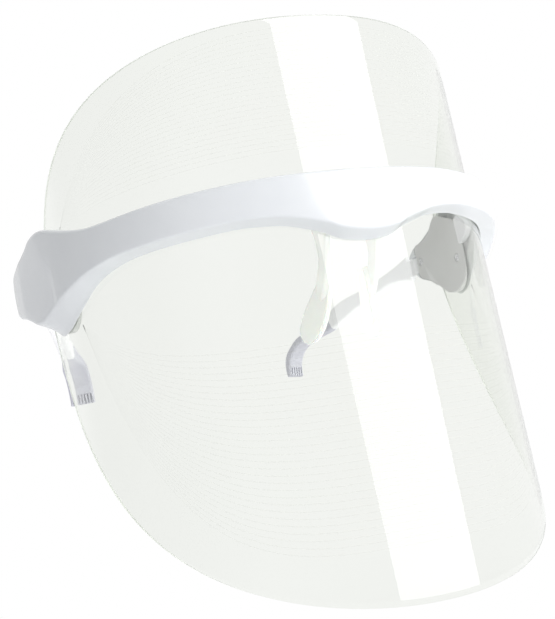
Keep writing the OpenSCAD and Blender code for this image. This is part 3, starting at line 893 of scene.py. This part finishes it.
def fine_grain():
    tree, start, end = group("mould_grain", (("Scale", 900.0), ("Amount", 1.0)), ("Height",))
    place = on_object(tree)
    fine = put(tree, "ShaderNodeTexNoise", in_Detail=3.0, in_Roughness=0.6)
    cells = put(tree, "ShaderNodeTexVoronoi")
    add = put(tree, "ShaderNodeMath", operation="ADD")
    times = put(tree, "ShaderNodeMath", operation="MULTIPLY")
    for node in (fine, cells):
        tree.links.new(place, node.inputs["Vector"])
        tree.links.new(start.outputs["Scale"], node.inputs["Scale"])
    tree.links.new(fine.outputs["Fac"], add.inputs[0])
    tree.links.new(cells.outputs["Distance"], add.inputs[1])
    tree.links.new(add.outputs[0], times.inputs[0])
    tree.links.new(start.outputs["Amount"], times.inputs[1])
    tree.links.new(times.outputs[0], end.inputs["Height"])
    return tree


def handling_marks():
    sockets = (("Scale", 40.0), ("Low", 0.2), ("High", 0.3))
    tree, start, end = group("handling_marks", sockets, ("Value", "Mask"))
    place = on_object(tree)
    wide = put(tree, "ShaderNodeTexNoise", in_Detail=5.0, in_Roughness=0.55, in_Distortion=0.6)
    steps = put(tree, "ShaderNodeMapRange", in_1=0.35, in_2=0.7, in_3=0.0, in_4=1.0)
    value = put(tree, "ShaderNodeMapRange")
    tree.links.new(place, wide.inputs["Vector"])
    tree.links.new(start.outputs["Scale"], wide.inputs["Scale"])
    tree.links.new(wide.outputs["Fac"], steps.inputs[0])
    tree.links.new(steps.outputs[0], value.inputs[0])
    tree.links.new(start.outputs["Low"], value.inputs[3])
    tree.links.new(start.outputs["High"], value.inputs[4])
    tree.links.new(value.outputs[0], end.inputs["Value"])
    tree.links.new(steps.outputs[0], end.inputs["Mask"])
    return tree


def exposed_edges():
    tree, start, end = group("exposed_edges", (("From", 0.52), ("To", 0.62)), ("Mask",))
    shape = put(tree, "ShaderNodeNewGeometry")
    steps = put(tree, "ShaderNodeMapRange", in_3=0.0, in_4=1.0)
    tree.links.new(shape.outputs["Pointiness"], steps.inputs[0])
    tree.links.new(start.outputs["From"], steps.inputs[1])
    tree.links.new(start.outputs["To"], steps.inputs[2])
    tree.links.new(steps.outputs[0], end.inputs["Mask"])
    return tree


GRAIN = fine_grain()
MARKS = handling_marks()
EDGES = exposed_edges()
print("shader groups:", GRAIN.name, MARKS.name, EDGES.name)

# %% A moulded plastic made from them
def use(tree, source, **values):
    node = tree.nodes.new("ShaderNodeGroup")
    node.node_tree = source
    for key, value in values.items():
        node.inputs[key].default_value = value
    return node


def new_material(name):
    material = bpy.data.materials.new(name)
    material.use_nodes = True
    tree = material.node_tree
    shader = tree.nodes["Principled BSDF"]
    return material, tree, shader


def rays(tree, *kinds):
    """A value of 1 for the kinds of ray named and 0 for the others."""
    path = put(tree, "ShaderNodeLightPath")
    found = path.outputs[kinds[0]]
    for kind in kinds[1:]:
        either = put(tree, "ShaderNodeMath", operation="MAXIMUM")
        tree.links.new(found, either.inputs[0])
        tree.links.new(path.outputs[kind], either.inputs[1])
        found = either.outputs[0]
    return found


def mix_surfaces(tree, share, first, second):
    mix = put(tree, "ShaderNodeMixShader")
    for socket, source in zip(mix.inputs, (share, first.outputs[0], second.outputs[0])):
        tree.links.new(source, socket)
    tree.links.new(mix.outputs[0], tree.nodes["Material Output"].inputs["Surface"])


def moulded(name, colour, shade, edge, rough, grain_scale, grain_depth, marks_scale=45.0, coat=0.0, clear=0.0,
            subsurface=0.0, metal=0.0, glow=0.0):
    """Plastic with a slow colour drift, edges painted lighter partly as wear and partly as a painted
    highlight, uneven gloss and mould grain. A little painted glow stands for the light that milky plastic
    passes on."""
    material, tree, shader = new_material(name)
    marks = use(tree, MARKS, Scale=marks_scale, Low=rough[0], High=rough[1])
    grain = use(tree, GRAIN, Scale=grain_scale, Amount=1.0)
    edges = use(tree, EDGES)
    drift = put(tree, "ShaderNodeMix", data_type="RGBA")
    drift.inputs[6].default_value = (*colour, 1)
    drift.inputs[7].default_value = (*shade, 1)
    # lighter edges from the pointiness mask: partly wear, partly a painted highlight where the edges catch
    # the light
    wear_and_edge_highlight = put(tree, "ShaderNodeMix", data_type="RGBA")
    wear_and_edge_highlight.inputs[7].default_value = (*edge, 1)
    bump = put(tree, "ShaderNodeBump", in_Strength=0.35, in_Distance=grain_depth)
    tree.links.new(marks.outputs["Mask"], drift.inputs[0])
    tree.links.new(drift.outputs[2], wear_and_edge_highlight.inputs[6])
    tree.links.new(edges.outputs["Mask"], wear_and_edge_highlight.inputs[0])
    tree.links.new(wear_and_edge_highlight.outputs[2], shader.inputs["Base Color"])
    tree.links.new(marks.outputs["Value"], shader.inputs["Roughness"])
    tree.links.new(grain.outputs["Height"], bump.inputs["Height"])
    tree.links.new(bump.outputs["Normal"], shader.inputs["Normal"])
    shader.inputs["IOR"].default_value = 1.5
    shader.inputs["Coat Weight"].default_value = coat
    shader.inputs["Coat Roughness"].default_value = 0.12
    shader.inputs["Transmission Weight"].default_value = clear
    shader.inputs["Subsurface Weight"].default_value = subsurface
    shader.inputs["Subsurface Scale"].default_value = 0.002
    shader.inputs["Metallic"].default_value = metal
    # painted glow: this emission paints light into the part, standing in for the light that milky plastic
    # passes on
    shader.inputs["Emission Color"].default_value = (1, 1, 1, 1)
    shader.inputs["Emission Strength"].default_value = glow
    return material


shell_white = moulded("shell_white", (0.675, 0.695, 0.715), (0.65, 0.67, 0.695), (0.75, 0.765, 0.78),
                      (0.14, 0.22), 1400, 0.00002, 38, coat=0.4)
cover_grey = moulded("cover_grey", (0.6, 0.6, 0.6), (0.565, 0.565, 0.56), (0.68, 0.68, 0.68), (0.42, 0.55),
                     2200, 0.00006, 60)
band_inner_white = moulded("band_inner_white", (0.74, 0.74, 0.77), (0.70, 0.70, 0.735), (0.8, 0.8, 0.82),
                           (0.32, 0.42), 2000, 0.00005, 50)
# arm_white carries a small painted glow
arm_white = moulded("arm_white", (0.87, 0.87, 0.89), (0.84, 0.84, 0.87), (0.9, 0.9, 0.92), (0.26, 0.36),
                    1800, 0.00001, 55, glow=0.05)
soft_lilac = moulded("soft_lilac", (0.58, 0.58, 0.65), (0.53, 0.53, 0.61), (0.62, 0.62, 0.69), (0.5, 0.62),
                     2600, 0.00001, 70)
# soft_clear carries a strong painted glow for light passing through the soft nose pads
soft_clear = moulded("soft_clear", (0.86, 0.86, 0.82), (0.82, 0.82, 0.78), (0.92, 0.92, 0.9), (0.25, 0.4),
                     1500, 0.00003, 60, subsurface=0.35, glow=0.34)
# bracket_clear carries a painted glow for light passing through the clear bracket
bracket_clear = moulded("bracket_clear", (0.9, 0.91, 0.9), (0.86, 0.88, 0.87), (0.94, 0.95, 0.94),
                        (0.06, 0.14), 700, 0.00001, 40, clear=0.5, coat=0.2, subsurface=0.2, glow=0.14)
button_white = moulded("button_white", (0.76, 0.76, 0.8), (0.72, 0.72, 0.77), (0.84, 0.84, 0.87),
                       (0.25, 0.34), 1600, 0.00003, 80)
screw_metal = moulded("screw_metal", (0.6, 0.6, 0.62), (0.45, 0.45, 0.47), (0.75, 0.75, 0.77), (0.24, 0.42),
                      900, 0.00002, 400, metal=1.0)
print("plastics and metal ready")

# %% [markdown]
# ## Clear sheet
# The visor is smooth, thin and faintly grey-green, and it only shows by its reflections, its tint and its
# cut edge. It is clear plastic with a hint of haze in the handled places. Light that casts shadows passes
# it, so that what lies behind is lit as in a real studio.

# %% Clear sheet, cut edge and light lines
def clear_sheet_material():
    material, tree, shader = new_material("clear_sheet")
    marks = use(tree, MARKS, Scale=14.0, Low=0.0, High=0.035)
    place = on_object(tree)
    wave = put(tree, "ShaderNodeTexNoise", in_Scale=9.0, in_Detail=1.0)
    bump = put(tree, "ShaderNodeBump", in_Strength=0.05, in_Distance=0.0005)
    tint = put(tree, "ShaderNodeMix", data_type="RGBA")
    tint.inputs[6].default_value = (0.885, 0.9, 0.868, 1)
    tint.inputs[7].default_value = (0.872, 0.888, 0.853, 1)
    tree.links.new(place, wave.inputs["Vector"])
    tree.links.new(wave.outputs["Fac"], bump.inputs["Height"])
    tree.links.new(bump.outputs["Normal"], shader.inputs["Normal"])
    tree.links.new(marks.outputs["Mask"], tint.inputs[0])
    tree.links.new(tint.outputs[2], shader.inputs["Base Color"])
    tree.links.new(marks.outputs["Value"], shader.inputs["Roughness"])
    shader.inputs["IOR"].default_value = 1.49
    shader.inputs["Transmission Weight"].default_value = 1.0
    through = put(tree, "ShaderNodeBsdfTransparent")
    through.inputs["Color"].default_value = (0.93, 0.94, 0.92, 1)
    mix_surfaces(tree, rays(tree, "Is Shadow Ray", "Is Diffuse Ray"), shader, through)
    return material


clear_sheet = clear_sheet_material()
sheet_edge = moulded("sheet_edge", (0.74, 0.76, 0.72), (0.68, 0.7, 0.66), (0.8, 0.82, 0.78), (0.3, 0.5),
                     800, 0.00002, 90)
line_cut = moulded("line_cut", (0.72, 0.73, 0.68), (0.66, 0.67, 0.62), (0.72, 0.72, 0.68), (0.4, 0.6), 900,
                   0.00001, 120)
tree = line_cut.node_tree
place = on_object(tree)
parts = put(tree, "ShaderNodeSeparateXYZ")
fade = put(tree, "ShaderNodeMapRange", in_1=-0.02, in_2=0.026, in_3=0.13, in_4=0.02)
fade.interpolation_type = "SMOOTHSTEP"
tree.links.new(place, parts.inputs[0])
tree.links.new(parts.outputs["Y"], fade.inputs[0])
tree.links.new(fade.outputs[0], tree.nodes["Principled BSDF"].inputs["Alpha"])
print("clear sheet tint set")

# %% [markdown]
# ## Parts inside the housings
# The boards, chips, cell, ribbon and socket keep the frame's own shapes. They sit behind the covers and
# only need believable finishes: solder-mask green with faint tracks, black chips, a silver cell.

# %% Finishes for the electronics
def board_material():
    material, tree, shader = new_material("board_green")
    place = on_object(tree)
    tracks = put(tree, "ShaderNodeTexBrick", in_Scale=160.0, in_4=0.06)
    tracks.inputs["Color1"].default_value = (0.03, 0.16, 0.07, 1)
    tracks.inputs["Color2"].default_value = (0.035, 0.19, 0.08, 1)
    tracks.inputs["Mortar"].default_value = (0.1, 0.34, 0.16, 1)
    marks = use(tree, MARKS, Scale=90.0, Low=0.25, High=0.4)
    bump = put(tree, "ShaderNodeBump", in_Strength=0.3, in_Distance=0.00004)
    tree.links.new(place, tracks.inputs["Vector"])
    tree.links.new(tracks.outputs["Color"], shader.inputs["Base Color"])
    tree.links.new(tracks.outputs["Fac"], bump.inputs["Height"])
    tree.links.new(bump.outputs["Normal"], shader.inputs["Normal"])
    tree.links.new(marks.outputs["Value"], shader.inputs["Roughness"])
    return material


board_green = board_material()
chip_yellow = moulded("chip_yellow", (0.8, 0.72, 0.3), (0.75, 0.65, 0.22), (0.85, 0.82, 0.6), (0.2, 0.35),
                      1500, 0.00003, 300)
chip_black = moulded("chip_black", (0.02, 0.02, 0.022), (0.035, 0.035, 0.036), (0.09, 0.09, 0.09),
                     (0.35, 0.5), 2500, 0.00004, 200)
cell_silver = moulded("cell_silver", (0.5, 0.51, 0.53), (0.42, 0.43, 0.45), (0.62, 0.62, 0.64), (0.25, 0.4),
                      700, 0.00004, 120, metal=0.8)
ribbon_grey = moulded("ribbon_grey", (0.6, 0.6, 0.58), (0.54, 0.54, 0.52), (0.7, 0.7, 0.68), (0.35, 0.5),
                      1500, 0.00003, 150)
print("electronics finishes ready")

# %% Give every piece its finish and its body
def finish_piece(obj, material, slot, body, *nodes):
    obj.data.materials.clear()
    for one in material if isinstance(material, tuple) else (material,):
        obj.data.materials.append(one)
    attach(obj, body)
    if nodes:
        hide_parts(*nodes)


finish_piece(visor, (clear_sheet, sheet_edge), "clear_sheet", "mask", "visor")
for face, index in zip(visor.data.polygons, rim_faces):
    face.material_index = index
finish_piece(lines, line_cut, "clear_sheet", "mask")
for obj, material, slot, body, node in (
    (shell, shell_white, "shell_white", "mask", "outer_shell"),
    (inner_band, band_inner_white, "shell_white", "mask", "inner_band"),
    (left_cover, cover_grey, "cover_grey", "mask", "left_cover"),
    (right_cover, cover_grey, "cover_grey", "mask", "right_cover"),
    (cover_screw_set, screw_metal, "metal", "mask", "cover_screws"),
    (band_screw_set, screw_metal, "metal", "mask", "band_screws"),
    (nose_screw, screw_metal, "metal", "mask", "nose_screw"),
    (left_arm, arm_white, "arm_white", "left_arm", "left_arm"),
    (right_arm, arm_white, "arm_white", "right_arm", "right_arm"),
    (left_tip, soft_lilac, "soft_lilac", "left_arm", "left_ear_tip"),
    (right_tip, soft_lilac, "soft_lilac", "right_arm", "right_ear_tip"),
    (nose_bracket, bracket_clear, "bracket_clear", "mask", "nose_bracket"),
    (left_pad, soft_clear, "soft_clear", "mask", "left_nose_pad"),
    (right_pad, soft_clear, "soft_clear", "mask", "right_nose_pad"),
    (button, button_white, "button_white", "button", "power_button"),
):
    finish_piece(obj, material, slot, body, node)
for node, material in (("right_board", board_green), ("left_board", board_green),
                       ("right_light_chips", chip_yellow), ("left_light_chips", chip_yellow),
                       ("control_chips", chip_black), ("tact_switch", chip_black), ("battery", cell_silver),
                       ("wire_harness", ribbon_grey), ("charging_socket", screw_metal),
                       ("hinge_pins", screw_metal)):
    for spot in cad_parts[node].material_slots:
        spot.material = material

# %% [markdown]
# ## Floor and light
# The mask stands on a white floor. A tall soft light in front on the wearer's left makes the bright upright
# band on the visor, and the far side is lit only by the white room, so it falls off to a cool grey.

# %% White floor
deselect()
FLOOR_GAP = 0.045
bpy.ops.mesh.primitive_plane_add(size=12, location=(0, 0, cad_box[0][2] - FLOOR_GAP))
floor = name_new("floor")
floor_white, tree, shader = new_material("floor_white")
shader.inputs["Base Color"].default_value = (0.86, 0.86, 0.87, 1)
shader.inputs["Roughness"].default_value = 0.9
shader.inputs["Specular IOR Level"].default_value = 0.1
shader.inputs["Emission Color"].default_value = (1, 1, 1, 1)
place = on_object(tree)
away = put(tree, "ShaderNodeVectorMath", operation="LENGTH")
fade = put(tree, "ShaderNodeMapRange", in_1=0.14, in_2=0.5, in_3=0.0, in_4=1.0)
fade.interpolation_type = "SMOOTHSTEP"
blend = put(tree, "ShaderNodeMath", operation="MULTIPLY")
tree.links.new(place, away.inputs[0])
tree.links.new(away.outputs["Value"], fade.inputs[0])
tree.links.new(fade.outputs[0], blend.inputs[0])
tree.links.new(rays(tree, "Is Camera Ray", "Is Transmission Ray"), blend.inputs[1])
mix_surfaces(tree, blend.outputs[0], shader, put(tree, "ShaderNodeEmission"))
shader.inputs["Emission Strength"].default_value = 0.35
floor.data.materials.append(floor_white)
print("floor at", round((cad_box[0][2] - FLOOR_GAP) * 1000, 1), "mm")

# %% White room and lamps
world = bpy.data.worlds.new("white_room")
bpy.context.scene.world = world
world.use_nodes = True
sky = world.node_tree
background = sky.nodes["Background"]
background.inputs["Color"].default_value = (1, 1, 1, 1)
strength = put(sky, "ShaderNodeMapRange", in_3=0.5, in_4=1.0)
sky.links.new(rays(sky, "Is Camera Ray", "Is Glossy Ray", "Is Transmission Ray"), strength.inputs[0])
sky.links.new(strength.outputs[0], background.inputs["Strength"])


def softbox(name, direction, distance, width, height, power):
    data = bpy.data.lights.new(name, "AREA")
    data.shape = "RECTANGLE"
    data.size = width
    data.size_y = height
    data.energy = power
    lamp = bpy.data.objects.new(name, data)
    bpy.context.scene.collection.objects.link(lamp)
    d = Vector(direction).normalized()
    target = Vector((0, -0.02, 0.0))
    x = Vector((0, 0, 1)).cross(d).normalized()
    turn = Matrix((x, d.cross(x), d)).transposed().to_4x4()
    lamp.matrix_world = Matrix.Translation(target + d * distance) @ turn
    lamp.visible_camera = False
    lamp.visible_transmission = False
    return lamp


softbox("key_light", (0.45, -0.83, 0.26), 1.4, 1.2, 1.6, 20)
right_fill = softbox("right_light", (1.0, -0.12, 0.2), 1.5, 0.7, 1.4, 6)
right_fill.visible_glossy = False
softbox("top_light", (0.2, 0.1, 1.0), 1.3, 1.2, 1.2, 4)
print("lamps: key, right and top")

# %% [markdown]
# Clear plastic shows by what it reflects. A grey card stands on the wearer's right, where only reflections
# see it. It is darkest in the middle and fades to the white of the room at its edges, so that it draws the
# quiet darker side of the visor without a border.

# %% Grey card for reflections
deselect()
CARD_MIDDLE = (-1.3, 0.5, 0.3)
bpy.ops.mesh.primitive_plane_add(size=1, location=CARD_MIDDLE, rotation=(0, math.pi / 2, 0))
card = name_new("reflection_card")
card.scale = (3.6, 5.2, 1)
settle(card)
card_grey, tree, _ = new_material("card_grey")
place = on_object(tree)
inwards = put(tree, "ShaderNodeVectorMath", operation="DISTANCE")
inwards.inputs[1].default_value = CARD_MIDDLE
glow = put(tree, "ShaderNodeMapRange", in_1=0.3, in_2=1.75, in_3=0.45, in_4=1.0)
glow.interpolation_type = "SMOOTHSTEP"
plain = put(tree, "ShaderNodeEmission")
tree.links.new(place, inwards.inputs[0])
tree.links.new(inwards.outputs["Value"], glow.inputs[0])
tree.links.new(glow.outputs[0], plain.inputs["Strength"])
tree.links.new(plain.outputs[0], tree.nodes["Material Output"].inputs["Surface"])
card.data.materials.append(card_grey)
for way in ("visible_camera", "visible_diffuse", "visible_transmission", "visible_shadow"):
    setattr(card, way, False)
print("card ready")

# %% Finish
print("done")
